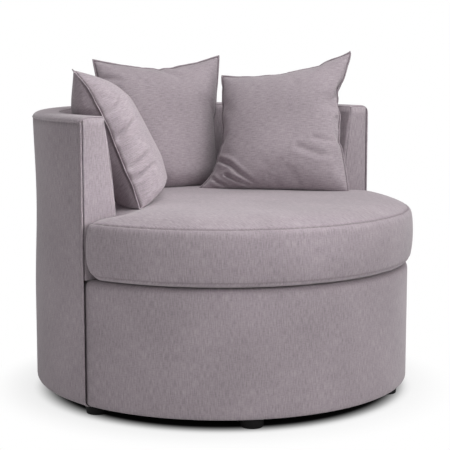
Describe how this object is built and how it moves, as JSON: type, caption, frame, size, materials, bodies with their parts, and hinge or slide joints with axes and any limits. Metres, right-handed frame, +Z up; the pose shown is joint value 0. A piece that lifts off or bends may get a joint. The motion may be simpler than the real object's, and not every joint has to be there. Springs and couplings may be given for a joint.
{
  "type": "round armchair",
  "caption": "Round upholstered tub armchair with a level curved back and arms, a loose seat cushion and loose scatter cushions, on low round feet.",
  "frame": {"origin": "on the floor, at the middle of the chair's round plan", "axes": "+Z up, -Y towards the front of the chair, +X towards the sitter's left"},
  "size_m": [0.96, 0.967, 0.8419],
  "materials": {
    "chair_fabric": "mauve-grey flat-woven upholstery cloth with a fine rib",
    "scatter_fabric": "the same mauve-grey woven cloth, loosely filled",
    "foot_plastic": "moulded black plastic",
    "fastener_steel": "bright zinc-plated steel",
    "slider_metal": "enamelled die-cast zip slider",
    "zip_tape": "woven zip tape with a moulded coil",
    "plywood": "birch plywood",
    "softwood": "sawn pine",
    "hardboard": "pressed brown hardboard",
    "webbing": "woven elastic webbing",
    "foam": "open-cell upholstery foam",
    "wadding": "white polyester fibre",
    "lining_cloth": "black non-woven lining cloth"
  },
  "bodies": {
    "frame": {"arm_front_board_left": "plywood", "arm_front_board_right": "plywood", "arm_front_pad_left": "foam", "arm_front_pad_right": "foam", "arm_front_panel_left": "chair_fabric", "arm_front_panel_right": "chair_fabric", "back_foam": "foam", "back_post_1": "softwood", "back_post_2": "softwood", "back_post_3": "softwood", "back_post_4": "softwood", "back_post_5": "softwood", "back_post_6": "softwood", "back_post_7": "softwood", "base_posts": "softwood", "base_ring": "plywood", "deck_cloth": "lining_cloth", "deck_pad": "wadding", "deck_ring": "plywood", "dust_cloth": "lining_cloth", "dust_cloth_staples": "fastener_steel", "foot_1": "foot_plastic", "foot_2": "foot_plastic", "foot_3": "foot_plastic", "foot_4": "foot_plastic", "foot_5": "foot_plastic", "foot_6": "foot_plastic", "foot_screws": "fastener_steel", "front_base_cover": "chair_fabric", "front_board": "hardboard", "front_wadding": "wadding", "inner_back_board": "hardboard", "inside_back_cover": "chair_fabric", "outer_back_board": "hardboard", "outer_wadding": "wadding", "outside_back_cover": "chair_fabric", "rim_foam": "foam", "top_band": "chair_fabric", "top_rail": "plywood", "webbing_crosswise": "webbing", "webbing_lengthwise": "webbing"},
    "seat_cushion": {"seat_cushion_cover": "chair_fabric", "seat_cushion_core": "foam", "seat_zip": "zip_tape"},
    "seat_zip_slider": {"seat_zip_slider": "slider_metal"},
    "scatter_left": {"scatter_left_cover": "scatter_fabric", "scatter_left_insert": "wadding", "scatter_left_zip": "zip_tape"},
    "scatter_left_zip_slider": {"scatter_left_zip_slider": "slider_metal"},
    "scatter_middle": {"scatter_middle_cover": "scatter_fabric", "scatter_middle_insert": "wadding", "scatter_middle_zip": "zip_tape"},
    "scatter_middle_zip_slider": {"scatter_middle_zip_slider": "slider_metal"},
    "scatter_right": {"scatter_right_cover": "scatter_fabric", "scatter_right_insert": "wadding", "scatter_right_zip": "zip_tape"},
    "scatter_right_zip_slider": {"scatter_right_zip_slider": "slider_metal"}
  },
  "joints": [
    {"name": "seat_cushion_lift", "type": "slide", "parent": "frame", "child": "seat_cushion", "axis": [0, 0, 1], "range_m": [0, 0.4]},
    {"name": "seat_zip_run", "type": "hinge", "parent": "seat_cushion", "child": "seat_zip_slider", "pos_m": [0, -0.009, 0.395], "axis": [0, 0, 1], "range_deg": [0, 92]},
    {"name": "scatter_left_pull", "type": "slide", "parent": "seat_cushion", "child": "scatter_left", "axis": [-0.3648, 0.2954, 0.8829], "range_m": [0, 0.32]},
    {"name": "scatter_left_zip_run", "type": "slide", "parent": "scatter_left", "child": "scatter_left_zip_slider", "axis": [0.6293, 0.7771, 0], "range_m": [0, 0.19]},
    {"name": "scatter_middle_pull", "type": "slide", "parent": "seat_cushion", "child": "scatter_middle", "axis": [0.0732, 0.3172, 0.9455], "range_m": [0, 0.32]},
    {"name": "scatter_middle_zip_run", "type": "slide", "parent": "scatter_middle", "child": "scatter_middle_zip_slider", "axis": [0.9744, -0.225, 0], "range_m": [0, 0.19]},
    {"name": "scatter_right_pull", "type": "slide", "parent": "seat_cushion", "child": "scatter_right", "axis": [0.3749, 0.2825, 0.8829], "range_m": [0, 0.32]},
    {"name": "scatter_right_zip_run", "type": "slide", "parent": "scatter_right", "child": "scatter_right_zip_slider", "axis": [0.6018, -0.7986, 0], "range_m": [0, 0.19]}
  ]
}
